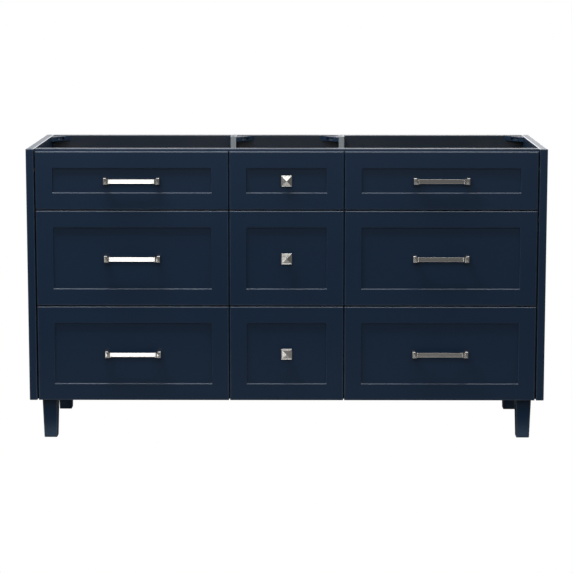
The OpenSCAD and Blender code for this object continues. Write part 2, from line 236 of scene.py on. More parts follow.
def add_pan_screw(skin, seat, axis, head_d, head_h, shank_d, length):
    """A pan head on a seat, its top a dome with a cross-shaped recess: the height at radius r
    and angle t is the dome's less the recess where the smaller of |r cos t| and |r sin t| is
    under the cross's half width and the larger is under its half length."""
    axis = np.asarray(axis, float)
    u = np.roll(axis, 1)
    v = np.cross(axis, u)
    sides, rings = 32, 9
    turn = np.arange(sides) * 2 * math.pi / sides + math.pi / sides
    share = np.linspace(1, 0.06, rings)[:, None]
    radius = head_d / 2 * share * np.ones(sides)
    a, b = np.abs(radius * np.cos(turn)), np.abs(radius * np.sin(turn))
    cross = np.minimum(a, b) < 0.075 * head_d
    cross &= np.maximum(a, b) < 0.29 * head_d
    height = head_h * (0.55 + 0.45 * np.sqrt(1 - 0.98 * share ** 2)) - cross * 0.5 * head_h
    top = np.stack([radius * np.cos(turn), radius * np.sin(turn), height], axis=-1)
    low = np.array([[shank_d / 2, -length], [shank_d / 2, 0.0], [head_d / 2, 0.0]])
    around = np.stack([np.cos(turn), np.sin(turn)], axis=-1)
    skirt = np.concatenate([low[:, :1, None] * around[None],
                            np.broadcast_to(low[:, 1:, None], (len(low), sides, 1))], axis=2)
    points, faces = loft(placed(np.concatenate([skirt, top]), seat, u, v, axis))
    return skin.add(points, faces)


def cell_board(skin, lines, gone, finish=0):
    """A board cut on a grid of lines along X, Y and Z: every cell that isn't gone is solid, and
    a cell has a face wherever its neighbour is missing."""
    counts = [len(line) for line in lines]
    grid = np.stack(np.meshgrid(*lines, indexing="ij"), axis=-1)
    number = np.arange(np.prod(counts)).reshape(counts)
    solid = np.ones([n - 1 for n in counts], bool)
    for cell in gone:
        solid[cell] = False
    padded = np.pad(solid, 1)
    faces = []
    for axis in range(3):
        for step in (0, 1):
            beside = np.roll(padded, -1 if step else 1, axis=axis)[1:-1, 1:-1, 1:-1]
            i, j, k = np.nonzero(solid & ~beside)
            at = np.stack([i, j, k], axis=-1)
            at[:, axis] += step
            one, two = np.roll(np.eye(3, dtype=int), -axis - 1, axis=0)[:2]
            ring = [at, at + one, at + one + two, at + two]
            quad = np.stack([number[tuple(p.T)] for p in ring], axis=-1)
            faces.append(quad if step else quad[:, ::-1])
    faces = np.vstack(faces)
    used, index = np.unique(faces, return_inverse=True)
    return skin.add(grid.reshape(-1, 3)[used], [index.reshape(faces.shape)], 0.0, finish)


def merged_copy(node):
    """A copy of a CAD node's mesh with its points merged and its flat faces joined."""
    work = bmesh.new()
    work.from_mesh(frame["nodes"][node].data)
    bmesh.ops.remove_doubles(work, verts=work.verts, dist=1e-6)
    bmesh.ops.dissolve_limit(work, angle_limit=math.radians(1), verts=work.verts, edges=work.edges)
    mesh = bpy.data.meshes.new(node)
    work.to_mesh(mesh)
    work.free()
    mesh.shade_smooth()
    mesh.set_sharp_from_angle(angle=math.radians(35))
    mesh.materials.clear()
    return mesh


def add_piece(name, mesh, body, replaces=()):
    """Puts a mesh in the scene as a piece that rides on a body."""
    piece = bpy.data.objects.new(name, mesh)
    bpy.context.scene.collection.objects.link(piece)
    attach(piece, body)
    if replaces:
        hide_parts(*replaces)
    return piece


def add_drawer_piece(row, column, name, mesh, replaces=()):
    """The same for a piece that rides on one of the drawers."""
    return add_piece(f"{row}_{column}_{name}", mesh, f"{row}_{column}_drawer", replaces)


def bevel(piece, width, segments=2):
    """Eases every sharp edge of a piece."""
    modifier = piece.modifiers.new("eased edges", "BEVEL")
    modifier.width = width
    modifier.segments = segments
    modifier.limit_method = "ANGLE"
    modifier.angle_limit = math.radians(40)
    modifier.harden_normals = True
    return piece


def box_of(node):
    """Low and high corners of a CAD node's box."""
    low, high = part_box(node)
    return np.array(low), np.array(high)


# ---- Finishes ----

class Value:
    """A socket. Operators on it add Math nodes."""

    def __init__(self, shader, socket):
        self.shader, self.socket = shader, socket

    def math(self, operation, *others):
        return self.shader.node("Math", {"operation": operation}, dict(enumerate((self, *others))))

    def output(self, name):
        return Value(self.shader, self.socket.node.outputs[name])

    def __add__(self, other):
        return self.math("ADD", other)

    __radd__ = __add__

    def __mul__(self, other):
        return self.math("MULTIPLY", other)

    __rmul__ = __mul__

    def __sub__(self, other):
        return self.math("SUBTRACT", other)

    def __rsub__(self, other):
        return (self * -1) + other

    def above(self, low, high):
        """Rises from 0 at low to 1 at high."""
        return self.shader.node("MapRange", {"interpolation_type": "SMOOTHSTEP"},
                                {"Value": self, "From Min": low, "From Max": high})


class Finish:
    """A material, and the ways of adding nodes to it."""

    def __init__(self, name):
        self.material = bpy.data.materials.new(name)
        self.material.use_nodes = True
        self.tree = self.material.node_tree
        self.tree.nodes.clear()

    def node(self, kind, settings=None, inputs=None):
        """Adds a node: its settings first, then a value or a link for each socket named."""
        made = self.tree.nodes.new("ShaderNode" + kind)
        for key, value in (settings or {}).items():
            setattr(made, key, value)
        for key, value in (inputs or {}).items():
            socket = made.inputs[key] if isinstance(key, int) else self.socket(made, key)
            if isinstance(value, Value):
                self.tree.links.new(value.socket, socket)
            else:
                socket.default_value = value
        return Value(self, next((s for s in made.outputs if s.enabled), None))

    @staticmethod
    def socket(node, key):
        named = [s for s in node.inputs if s.enabled and key in (s.identifier, s.name)]
        return named[0]

    def place(self, scale=(1, 1, 1)):
        """Object coordinates, stretched."""
        where = self.node("TexCoord").output("Object")
        return self.node("Mapping", None, {"Vector": where, "Scale": scale})

    def noise(self, scale, detail=2.0, stretch=(1, 1, 1), roughness=0.5, distortion=0.0):
        """Noise from 0 to 1 with so many features to the metre."""
        return self.node("TexNoise", None, {
            "Vector": self.place(stretch), "Scale": scale, "Detail": detail,
            "Roughness": roughness, "Distortion": distortion})

    def wear(self):
        """The edge wear of the piece's mesh."""
        return self.node("Attribute", {"attribute_name": "wear"}).output("Fac")

    def mix(self, one, two, factor):
        """From one colour to another."""
        return self.node("Mix", {"data_type": "RGBA"}, {
            "Factor_Float": factor, "A_Color": colour(one), "B_Color": colour(two)})

    def bump(self, height, distance, strength=1.0, under=None):
        """A normal raised by a height, over another normal if there is one."""
        inputs = {"Height": height, "Distance": distance, "Strength": strength}
        if under is not None:
            inputs["Normal"] = under
        return self.node("Bump", None, inputs)

    def finish(self, **inputs):
        """The surface itself. Keywords are socket names with _ for a space."""
        surface = self.node("BsdfPrincipled", None, {
            key.replace("_", " "): colour(value) if key == "Base_Color" else value
            for key, value in inputs.items()})
        self.node("OutputMaterial", None, {"Surface": surface})
        return self.material


def colour(value):
    """A colour socket's value: three numbers get an alpha of one."""
    return value if isinstance(value, Value) or len(value) == 4 else (*value, 1.0)


NAVY = ((0.0042, 0.0160, 0.0385), (0.0056, 0.0195, 0.0460))
NAVY_GREYED_AS_SHEEN = ((0.0068, 0.0126, 0.0215), (0.0082, 0.0150, 0.0255))    # navy greyed towards white: painted sheen, for the white that the back and its rails mirror at a grazing angle


def navy_lacquer(name, gloss, tones=NAVY, foot_height=None):
    """Sprayed satin lacquer: a faint orange peel, slow changes of tone and gloss, and edges
    rubbed a little lighter and smoother. On legs it carries painted light, paler towards the floor,
    and painted shade, darker from part way up to foot_height, under the case."""
    f = Finish(name)
    cloud = f.noise(2.6, 3.0)
    speck = f.noise(240, 2.0)
    rubbed = f.wear() * f.noise(55, 3.0).above(0.35, 0.65)
    tone = f.mix(*tones, cloud)
    tone = f.mix(tone, (0.022, 0.045, 0.080), rubbed * 0.45)
    if foot_height:
        height = f.node("SeparateXYZ", None, {"Vector": f.node("TexCoord").output("Object")}).output("Z")
        # painted light: the leg's colour is paler towards the floor, broken up by noise, for the light that
        # the floor throws on the feet
        painted_floor_light = (1 - height.above(0.0, 0.6 * foot_height)) * (0.75 + f.noise(90, 3.0) * 0.5)
        tone = f.mix(tone, (0.040, 0.066, 0.105), painted_floor_light * 0.8)
        # painted shade: the leg's colour is darker towards its top, where the case overhangs it
        tone = f.mix(tone, (0.0012, 0.0060, 0.0130), height.above(0.55 * foot_height, foot_height) * 0.8)
    peel = f.bump(f.noise(620, 2.0), 0.00006, 0.5)
    waves = f.bump(f.noise(38, 1.0), 0.00007, 0.25, peel)
    return f.finish(
        Base_Color=tone, Roughness=0.25 + cloud * 0.06 + speck * 0.05 - rubbed * 0.04,
        Specular_IOR_Level=gloss, Coat_Weight=f.wear() * 0.9, Coat_Roughness=0.16, Normal=waves)


def birch(name, along):
    """Sealed birch boards: long soft figure and fine pores along one axis, rings on the
    faces that cut across it."""
    f = Finish(name)
    stretch = tuple(0.06 if axis == along else 1.0 for axis in range(3))
    figure = f.noise(26, 4.0, stretch, 0.55, 0.6)
    pores = f.noise(900, 2.0, stretch)
    slow = f.noise(3.0, 2.0)
    normal = f.node("NewGeometry").output("Normal")
    facing = f.node("VectorMath", {"operation": "DOT_PRODUCT"},
                    {0: normal, 1: tuple(np.eye(3)[along])}).output("Value")
    end = facing.math("ABSOLUTE").above(0.6, 0.9)
    tone = f.mix((0.50, 0.33, 0.185), (0.66, 0.475, 0.295), figure)
    tone = f.mix(tone, (0.42, 0.27, 0.15), pores.above(0.62, 0.8) * 0.35)
    tone = f.mix(tone, (0.70, 0.53, 0.35), slow * 0.3)
    tone = f.mix(tone, (0.36, 0.225, 0.12), end * 0.75)
    grain = f.bump(pores + figure * 0.5, 0.00012, 0.35)
    return f.finish(Base_Color=tone, Roughness=0.40 + figure * 0.12 + end * 0.15, Normal=grain)


def brushed_nickel():
    """Nickel brushed along X: long fine streaks in the gloss and the surface, and edges
    polished brighter."""
    f = Finish("brushed nickel")
    streak = f.noise(420, 3.0, (0.03, 1.0, 1.0))
    cloud = f.noise(60, 2.0)
    edge = f.wear()
    tone = f.mix((0.60, 0.575, 0.54), (0.70, 0.68, 0.65), streak)
    tone = f.mix(tone, (0.80, 0.79, 0.77), edge * 0.5)
    lines = f.bump(streak, 0.000004, 0.4)
    return f.finish(Base_Color=tone, Metallic=1.0,
                    Roughness=0.12 + streak * 0.09 + cloud * 0.04 - edge * 0.04, Normal=lines)


def zinc_steel():
    """Zinc-plated rolled steel: drawn lines along Y and a cloudy spangle."""
    f = Finish("zinc plated steel")
    lines = f.noise(700, 2.0, (1.0, 0.02, 1.0))
    spangle = f.noise(90, 3.0)
    tone = f.mix((0.44, 0.46, 0.48), (0.60, 0.62, 0.64), spangle)
    tone = f.mix(tone, (0.36, 0.37, 0.38), lines.above(0.6, 0.8) * 0.3)
    return f.finish(Base_Color=tone, Metallic=1.0, Roughness=0.26 + spangle * 0.14 + lines * 0.06,
                    Normal=f.bump(lines, 0.00002, 0.4))


def grey_edging():
    """Thin grey edging with the small scratches that trimming leaves along it."""
    f = Finish("grey edging")
    trim = f.noise(300, 3.0, (1.0, 1.0, 0.05))
    tone = f.mix((0.110, 0.140, 0.160), (0.165, 0.200, 0.225), trim)
    return f.finish(Base_Color=tone, Roughness=0.42 + trim * 0.12, Normal=f.bump(trim, 0.00003, 0.4))


def black_phosphate():
    """Dark phosphated steel of wood screws: matt, with a little bare metal on the edges."""
    f = Finish("black phosphate")
    grit = f.noise(1500, 3.0)
    tone = f.mix((0.018, 0.018, 0.020), (0.05, 0.05, 0.054), grit)
    return f.finish(Base_Color=tone, Metallic=0.8, Roughness=0.45 + grit * 0.2,
                    Normal=f.bump(grit, 0.00002, 0.4))


def black_plastic():
    """Moulded nylon with a fine spark-eroded texture."""
    f = Finish("black nylon")
    grain = f.noise(1300, 2.0)
    tone = f.mix((0.010, 0.010, 0.011), (0.022, 0.022, 0.024), grain)
    return f.finish(Base_Color=tone, Roughness=0.45 + grain * 0.2, Normal=f.bump(grain, 0.00003, 0.5))


LACQUER = navy_lacquer("navy lacquer", 0.28)
# painted sheen: the back and its rails get the greyed navy in their base colour
INSIDE_LACQUER = navy_lacquer("navy lacquer of the inside", 0.28, NAVY_GREYED_AS_SHEEN)
LEG_LACQUER = navy_lacquer("navy lacquer of the legs", 0.14, foot_height=0.118)
BIRCH_X = birch("birch across", 0)
BIRCH_Y = birch("birch along", 1)
NICKEL = brushed_nickel()
ZINC = zinc_steel()
EDGING = grey_edging()
PHOSPHATE = black_phosphate()
NYLON = black_plastic()


# ---- Case ----

def make_panels():
    """Side panels, case floor, front rail and back rails: boards with eased edges."""
    for node, ease in (("left_side_panel", 0.0015), ("right_side_panel", 0.0015),
                       ("case_floor", 0.0008), ("top_front_rail", 0.002)):
        skin = add_block(Skin(), *box_of(node), ease, axis=0 if node == "case_floor" else 2)
        add_piece("panel_" + node, skin.mesh(node, [LACQUER]), "cabinet", [node])
    rails = Skin()
    low, high = box_of("back_rails")
    outer, partition = box_of("left_side_panel")[1][0], box_of("left_partition")
    spans = [(outer, partition[0][0]), (partition[1][0], -partition[1][0]), (-partition[0][0], -outer)]
    for x1, x2 in spans:
        add_block(rails, (x1, low[1], low[2]), (x2, high[1], high[2]), 0.001, axis=0)
    add_piece("wall_fixing_rails", rails.mesh("back_rails", [INSIDE_LACQUER]), "cabinet",
              ["back_rails"])


SHADE_STRIP_STANDOFF = 0.0034         # how far a black shade strip stands off its side panel
STRIP_DEPTH = 0.0044        # how far the black shade strips reach behind the fronts


def make_side_gap_shade_strips():
    """Black strips along the inside of each side panel, just behind the fronts' edges: painted shade, dark
    sheets that keep the gaps beside the fronts dark.
    """
    skin = Skin()
    inner = box_of("right_side_panel")[0][0]
    front_back = box_of("lower_left_front")[1][1]
    z1, z2 = box_of("lower_left_front")[0][2], box_of("upper_left_front")[1][2]
    for side in (-1, 1):
        x1, x2 = sorted((side * inner, side * (inner - SHADE_STRIP_STANDOFF)))
        add_block(skin, (x1, front_back + 0.0006, z1), (x2, front_back + STRIP_DEPTH, z2), 0.0008, 2)
    add_piece("foam_dust_strips", skin.mesh("dust strips", [NYLON]), "cabinet")


STRIP_SETBACK = 0.056       # of a partition's full-height strip, in front of the back rails
EDGE_BAND = 0.0006          # thickness of the edging, and its setback from the strip's faces


def make_partitions():
    """Each partition is an L: its front stays below the front rail, its rear strip doesn't.
    A band of edging covers the front of that strip."""
    for side in ("left", "right"):
        node = side + "_partition"
        low, high = box_of(node)
        rear = box_of("back_rails")[0][1] - STRIP_SETBACK
        drop = box_of("top_front_rail")[0][2]
        outline = [(low[1], low[2]), (high[1], low[2]), (high[1], high[2]), (rear, high[2]),
                   (rear, drop), (low[1], drop)]
        skin = add_prism(Skin(), outline, low[0], high[0], (0, 0, 0), Y, Z, X, 0.0008, hold=0.0015)
        add_piece(node + "_board", skin.mesh(node, [LACQUER]), "cabinet", [node])
        band = add_block(Skin(), (low[0] + EDGE_BAND, rear - EDGE_BAND, drop),
                         (high[0] - EDGE_BAND, rear, high[2] - 0.0004), 0.00025, 2)
        add_piece(side + "_edge_band", band.mesh("edge band", [EDGING]), "cabinet")


CUT_OUT = (0.300, 0.180)    # width and height of a plumbing cut-out
CUT_OUT_RISE = 0.264        # of its lower edge, above the case floor


def make_back_panel():
    """The back, with a cut-out for the plumbing behind each wide column."""
    low, high = box_of("back_panel")
    middle = (box_of("left_side_panel")[1][0] + box_of("left_partition")[0][0]) / 2
    half = CUT_OUT[0] / 2
    floor_top = box_of("case_floor")[1][2]
    xs = [low[0], middle - half, middle + half, -middle - half, -middle + half, high[0]]
    zs = [low[2], floor_top + CUT_OUT_RISE, floor_top + CUT_OUT_RISE + CUT_OUT[1], high[2]]
    skin = cell_board(Skin(), [xs, [low[1], high[1]], zs], [(1, 0, 1), (3, 0, 1)])
    board = add_piece("back_board", skin.mesh("back_panel", [INSIDE_LACQUER]), "cabinet",
                      ["back_panel"])
    bevel(board, 0.0008)


def make_braces():
    """The corner braces with eased edges, their screw and countertop holes as designed."""
    mesh = merged_copy("corner_braces")
    mesh.materials.append(LACQUER)
    bevel(add_piece("brace_blocks", mesh, "cabinet", ["corner_braces"]), 0.0005)


LEG_TAPER = 0.00375         # how far each side of a leg slopes in by the foot


def make_legs():
    """Square legs with eased corners and foot: at height z of a leg of height h, each side is in
    by the taper times 1 - z / h."""
    for node in ("front_legs", "rear_legs"):
        low, high = box_of(node)
        top_w = high[1] - low[1]
        height = high[2] - low[2]
        skin = Skin()
        for side in (-1, 1):
            centre = (side * (high[0] - top_w / 2), (low[1] + high[1]) / 2, 0)
            rows = [(i + LEG_TAPER * (1 - z / height), z, r, w)
                    for i, z, r, w in eased_ends(height, 0.0022, 0.002, 0.0026)]
            points, faces, wear = carried(rectangle(top_w / 2, top_w / 2), rows, centre, X, Y, Z, 0.002)
            skin.add(points, faces, wear)
        add_piece("tapered_" + node, skin.mesh(node, [LEG_LACQUER]), "cabinet", [node])


LEG_BOLT = 0.008
NUT_HALF = 0.0068           # from the middle of a nut to its corners


def make_leg_bolts():
    """Hanger bolts, each with a chamfered hexagon nut on a washer."""
    skin = Skin()
    floor_top = box_of("case_floor")[1][2]
    top = box_of("leg_bolts")[1][2]
    low = box_of("leg_bolts")[0][2]
    for node in ("front_legs", "rear_legs"):
        a, b = box_of(node)
        for side in (-1, 1):
            x, y = side * (b[0] - (b[1] - a[1]) / 2), (a[1] + b[1]) / 2
            r = LEG_BOLT / 2
            add_turned(skin, [(r * 0.8, low), (r, low + 0.001), (r, top - 0.001), (r * 0.75, top)],
                       (x, y, 0), Z, 20)
            disc = 1.2 * LEG_BOLT
            washer = [(disc - 0.0004, 0.00002), (disc, 0.0003), (disc, 0.0013), (disc - 0.0003, 0.0016)]
            add_turned(skin, washer, (x, y, floor_top), Z, 32)
            hexagon = [(NUT_HALF * math.cos(t), NUT_HALF * math.sin(t)) for t in np.arange(6) * math.pi / 3]
            add_prism(skin, np.array(hexagon), 0.0017, 0.0077, (x, y, floor_top), X, Y, Z, 0.0006)
    add_piece("leg_hanger_bolts", skin.mesh("leg_bolts", [ZINC]), "cabinet", ["leg_bolts"])


BRACE_LEG = 0.054
BRACE_SCREW_INSET = 0.034
BRACE_SCREW = (0.0075, 0.0026, 0.004, 0.022)    # head's width and height, shank's width, length


def brace_corners():
    """Corner and direction along X of each brace."""
    outer = box_of("right_side_panel")[0][0]
    inner = -box_of("left_partition")[1][0]
    y = box_of("back_rails")[0][1]
    return [(-outer, y, 1), (-inner, y, 1), (inner, y, -1), (outer, y, -1)]


def make_brace_screws():
    """Two screws in each brace, one into each wall of its corner."""
    skin = Skin()
    low, high = box_of("corner_braces")
    z = (low[2] + high[2]) / 2
    seat = (BRACE_LEG - BRACE_SCREW_INSET) / 2
    for x, y, way in brace_corners():
        add_pan_screw(skin, (x + way * seat, y - BRACE_SCREW_INSET, z), way * X, *BRACE_SCREW)
        add_pan_screw(skin, (x + way * BRACE_SCREW_INSET, y - seat, z), -Y, *BRACE_SCREW)
    add_piece("brace_wood_screws", skin.mesh("brace_screws", [PHOSPHATE]), "cabinet",
              ["brace_screws"])


# ---- Drawer fronts and boxes ----

def front_rows(thick):
    """Profile of a front, from the middle of its panel out over the border and round to the
    back: a square step with a fine cove at its foot and a worn lip at its top, and quarter
    circles (1 - sin t, 1 - cos t) round the front's own edges."""
    lip, edge, cove = 0.0012, 0.0022, 0.0008
    sine, cosine = np.sin(QUARTER), np.cos(QUARTER)
    rows = [(BORDER + 0.006, RECESS, 0.0004, FLAT), (BORDER + 0.0016, RECESS, 0.0004, FLAT)]
    rows += [(BORDER + cove * (1 - a), RECESS - cove * (1 - b), 0.0004, 0) for a, b in zip(sine, cosine)]
    rows += [(BORDER, lip, 0.0004, 0), (BORDER - 0.15 * lip, 0.72 * lip, 0.0004, 1),
             (BORDER - 0.72 * lip, 0.15 * lip, 0.0004, 1), (BORDER - lip, 0, 0.0004, 0)]
    rows += [(BORDER - lip - 0.0012, 0, 0.0006, FLAT), (edge + 0.002, 0, 0.0006, FLAT)]
    rows += [(edge * (1 - a), edge * (1 - b), 0.0006 + 0.0004 * a, 1) for a, b in zip(sine, cosine)]
    rows += [(0, edge + 0.002, 0.001, 0), (0, thick - edge - 0.002, 0.001, 0)]
    rows += [(cove * (1 - b), thick - cove * (1 - a), 0.001, 1) for a, b in zip(sine, cosine)]
    rows += [(0.003, thick, 0.001, FLAT)]
    return rows


def make_front(row, column):
    """A front: its profile carried round its rectangle."""
    node = f"{row}_{column}_front"
    low, high = box_of(node)
    half = (high - low) / 2
    origin = ((low[0] + high[0]) / 2, low[1], (low[2] + high[2]) / 2)
    rows = front_rows(high[1] - low[1])
    points, faces, wear = carried(rectangle(half[0], half[2]), rows, origin, X, Z, Y, 0.003)
    skin = Skin().add(points, faces, wear)
    add_drawer_piece(row, column, "drawer_front", skin.mesh(node, [LACQUER]), [node])


def make_row_gap_shade_strips(row, column):
    """Black strips along the back of a front, at each edge that faces another row, with a lip
    that stands a little into the gap: painted shade, dark sheets that keep the gaps between the rows dark."""
    low, high = box_of(f"{row}_{column}_front")
    box = box_of(f"{row}_{column}_box")
    reach, width, lip = 0.005, 0.0090, 0.0011
    places = [(low[2] - lip, low[2] + width)] if row != "lower" else []
    places += [(high[2] - width, high[2] + lip)] if row != "upper" else []
    skin = Skin()
    for z1, z2 in places:
        add_block(skin, (box[0][0] - reach, high[1] + GLUE_LINE, z1),
                  (box[1][0] + reach, high[1] + STRIP_DEPTH, z2), 0.0008, 0)
    add_drawer_piece(row, column, "gap_strips", skin.mesh("gap strips", [NYLON]))


TAIL_SLOPE = 0.14           # sideways for each length of a dovetail
TAIL_PITCH = 0.028
PIN_HALF = 0.0042           # half width of a pin at its narrow end
PIN_FIT = 0.00015           # clearance on each side of a pin


def pin_middles(height):
    """Heights of the pins between the dovetails: one between each two of the even shares."""
    count = max(2, round(height / TAIL_PITCH))
    return (np.arange(1, count) * (height / count)).tolist()


def side_outline(length, height):
    """A box side seen from beside it, with a pin's socket between each pair of tails: a socket
    is narrow at the board's end and wide at its foot."""
    middles, half = pin_middles(height), PIN_HALF
    wide = half + WALL * TAIL_SLOPE
    points = [(0, 0), (length, 0)]
    for m in middles:
        points += [(length, m - half), (length - WALL, m - wide),
                   (length - WALL, m + wide), (length, m + half)]
    points += [(length, height), (0, height)]
    for m in reversed(middles):
        points += [(0, m + half), (WALL, m + wide), (WALL, m - wide), (0, m - half)]
    return np.array(points)


def add_pins(skin, x1, x2, y, way, z, height):
    """The pins of a front or back wall, which fill the sockets of a side."""
    half = PIN_HALF - PIN_FIT
    wide = half + WALL * TAIL_SLOPE
    for m in pin_middles(height):
        pin = np.array([(0, m - half), (WALL, m - wide), (WALL, m + wide), (0, m + half)])
        add_prism(skin, pin, x1, x2, (0, y, z), way * Y, Z, X, 0.0003, 0.0002, finish=1, hold=0.0003)


def make_box(row, column):
    """Dovetailed walls, a loose floor, and cheeks and an end wall round the notch if it has one.
    Finish 0 has its grain along Y, finish 1 along X."""
    node = f"{row}_{column}_box"
    low, high = box_of(node)
    height = high[2] - low[2]
    length = high[1] - low[1]
    middle = (low[0] + high[0]) / 2
    inner = (high[0] - low[0]) / 2 - WALL
    skin = Skin()
    for side in (-1, 1):
        x1, x2 = sorted((middle + side * inner, middle + side * (inner + WALL)))
        add_prism(skin, side_outline(length, height), x1, x2, (0, low[1], low[2]), Y, Z, X, 0.0006, 0.0003)
        add_pins(skin, x1 + 0.0002, x2 - 0.00005, low[1], 1, low[2], height)
        add_pins(skin, x1 + 0.0002, x2 - 0.00005, high[1], -1, low[2], height)
    walls = [(-inner, inner, low[1], low[1] + WALL, 1)]
    notch = None if column == "centre" else NOTCHES.get(row)
    gap = GLUE_LINE
    edges = [middle - inner + gap, middle + inner - gap]
    floor_y = [low[1] + WALL + gap, high[1] - WALL - gap]
    floor_z = [low[2] + BOX_FLOOR_RISE, low[2] + BOX_FLOOR_RISE + BOX_FLOOR]
    if notch is None:
        walls.append((-inner, inner, high[1] - WALL, high[1], 1))
        add_block(skin, (edges[0], floor_y[0], floor_z[0]), (edges[1], floor_y[1], floor_z[1]), 0.0004, 1, 1)
    else:
        cheek, end = notch[0] / 2, high[1] - notch[1]
        walls += [(-inner, -cheek - WALL - gap, high[1] - WALL, high[1], 1),
                  (cheek + WALL + gap, inner, high[1] - WALL, high[1], 1),
                  (-cheek - WALL, -cheek, end - WALL, high[1], 0),
                  (cheek, cheek + WALL, end - WALL, high[1], 0),
                  (-cheek + gap, cheek - gap, end - WALL, end, 1)]
        reach = cheek + WALL + gap
        xs = [edges[0], middle - reach, middle + reach, edges[1]]
        cell_board(skin, [xs, [floor_y[0], end - WALL - gap, floor_y[1]], floor_z], [(1, 1, 0)], 1)
    for x1, x2, y1, y2, finish in walls:
        add_block(skin, (middle + x1, y1, low[2]), (middle + x2, y2, high[2]), 0.0012, 2, finish)
    add_drawer_piece(row, column, "drawer_box", skin.mesh(node, [BIRCH_Y, BIRCH_X]), [node])


# ---- Pulls and knobs ----

FOOT = (0.014, 0.020)       # width and height of a pull's foot
FOOT_CUT = 0.005
BAR = (0.0135, 0.009)       # height and thickness of the bar
BAR_SETBACK = 0.0015        # of the bar's face behind the feet's points
COLLAR = 0.005
COLLAR_PROUD = 0.0008
HANDLE_SCREW = (0.008, 0.0024, 0.004, 0.024)    # head's width and height, shank's width, length


def add_foot(skin, x, z, panel_y, front_y, way):
    """A pull's foot. Its outline has a chamfer on the upper inner corner, and its front is a
    low pyramid: rings of the outline shrunk towards the middle as they rise."""
    w, h = FOOT[0] / 2, FOOT[1] / 2
    outline = np.array([(-w, -h), (w, -h), (w, h - FOOT_CUT), (w - FOOT_CUT, h), (-w, h)])
    depth, rise = panel_y - front_y, 0.0022
    base = depth - rise
    rows = [(0.0014, 0.0, 0.0003, 0), (0.0003, 0.0, 0.0003, 1), (0.0, 0.0003, 0.0006, 1),
            (0.0, 0.0016, 0.0006, 0), (0.0, base - 0.0026, 0.0006, 0), (0.0001, base - 0.0019, 0.0006, 1),
            (0.0005, base - 0.0013, 0.0005, FLAT), (0.0015, base - 0.0003, 0.0004, FLAT),
            (0.0020, base + 0.0001, 0.0004, 1)]
    points, faces, wear = carried(outline, rows, (0, 0, 0), X, Z, -Y, 0.0003)
    ring = points.reshape(len(rows), -1, 3)[-1]
    share = np.array([1.0, 0.94, 0.5, 0.12, 0.05])[:, None, None]
    height = np.array([0.0, 0.06, 0.5, 0.92, 1.0])[:, None, None]
    peak = ring * share * [1, 0, 1] - Y * (base + 0.0001 + (rise - 0.0001) * height)
    rings = np.concatenate([points.reshape(len(rows), -1, 3)[:-1], peak])
    worn = np.concatenate([wear[:-len(ring)], np.repeat([1.0, 0.0, 0.0, 1.0, 1.0], len(ring))])
    points, faces = loft(rings * [way, 1, 1] + [x, panel_y, z])
    return skin.add(points, faces, worn)


def make_pull(row, column):
    """Two feet, a bar with a collar at each end, and the screws from inside the drawer."""
    node = f"{row}_{column}_pull"
    low, high = box_of(node)
    front = box_of(f"{row}_{column}_front")
    panel_y = front[0][1] + RECESS
    z = (front[0][2] + front[1][2]) / 2
    span = high[0] - low[0]
    middle = (low[0] + high[0]) / 2
    skin = Skin()
    for way in (-1, 1):
        add_foot(skin, middle + way * (span - FOOT[0]) / 2, z, panel_y, low[1], -way)
    half = span / 2 - FOOT[0] - GLUE_LINE
    bar_y, tall, proud = low[1] + BAR_SETBACK, BAR[0] / 2, COLLAR_PROUD
    add_block(skin, (middle - half, bar_y, z - tall), (middle + half, bar_y + BAR[1], z + tall), 0.0012, 0)
    for way in (-1, 1):
        x1, x2 = sorted((middle + way * half, middle + way * (half - COLLAR)))
        add_block(skin, (x1, bar_y - proud, z - tall - proud),
                  (x2, bar_y + BAR[1] + proud, z + tall + proud), 0.0013, 0)
    add_drawer_piece(row, column, "bar_pull", skin.mesh(node, [NICKEL]), [node])
    xs = [middle + way * (span - FOOT[0]) / 2 for way in (-1, 1)]
    make_handle_screws(row, column, node, xs, z, front[1][1] + WALL)


def make_handle_screws(row, column, node, xs, z, seat_y):
    """Screws that come through the drawer box and the front into a handle."""
    skin = Skin()
    for x in xs:
        add_pan_screw(skin, (x, seat_y, z), Y, *HANDLE_SCREW)
    add_drawer_piece(row, column, "handle_screws", skin.mesh("handle_screws", [ZINC]), [node])


KNOB_HALF = 0.01625
KNOB_STEM = [(0.0090, 0.0), (0.0095, 0.0004), (0.0095, 0.0014), (0.0088, 0.0020), (0.0074, 0.0026),
             (0.0066, 0.0042), (0.0064, 0.0070), (0.0068, 0.0098), (0.0082, 0.0122), (0.0100, 0.0138),
             (0.0100, 0.0146)]      # radius, and height above the recessed panel


